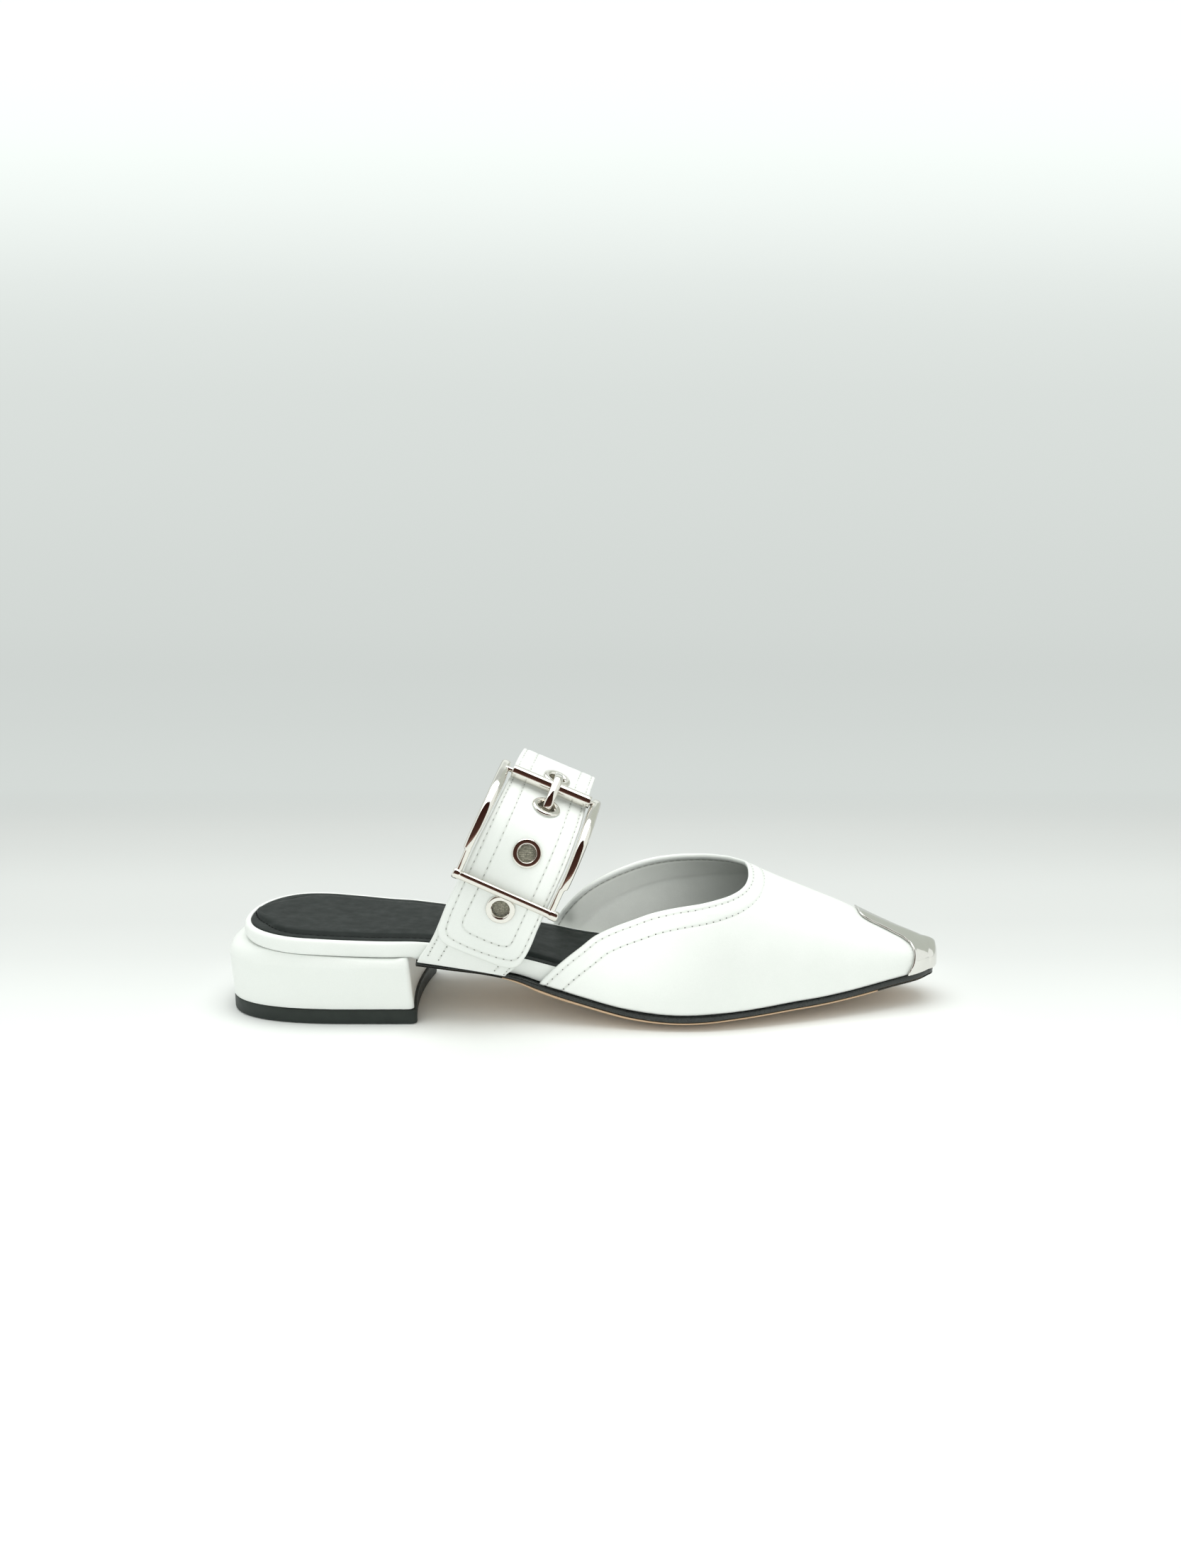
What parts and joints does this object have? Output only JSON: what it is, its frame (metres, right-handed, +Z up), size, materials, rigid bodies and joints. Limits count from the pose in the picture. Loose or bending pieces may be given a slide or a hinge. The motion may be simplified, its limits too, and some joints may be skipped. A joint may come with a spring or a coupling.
{
  "type": "buckle strap mule",
  "caption": "Low-heeled backless mule for the right foot, with a pointed vamp, a metal toe plate and a wide buckled strap over the instep.",
  "frame": {"origin": "middle of the bounding box, on the floor under the shoe", "axes": "+X toward the toe, +Y toward the inner side of the foot, +Z up"},
  "size_m": [0.2678, 0.0779, 0.0938],
  "materials": {
    "white_leather": "smooth, satin",
    "heel_wrap": "smooth, satin",
    "insole_leather": "soft matte",
    "sole_leather": "natural",
    "black_edge": "painted edge",
    "top_piece_rubber": "matte",
    "nickel": "polished"
  },
  "bodies": {
    "root": {"outsole": "sole_leather", "edge_band": "black_edge", "footbed_board": "white_leather", "insole": "insole_leather", "heel_block": "heel_wrap", "heel_top_piece": "top_piece_rubber", "upper": "white_leather", "toe_cap": "nickel", "strap_base": "white_leather", "instep_strap": "white_leather", "eyelet_1": "nickel", "eyelet_2": "nickel", "eyelet_3": "nickel", "eyelet_4": "nickel", "buckle_frame": "nickel", "buckle_roller": "nickel", "buckle_prong": "nickel"}
  },
  "joints": []
}
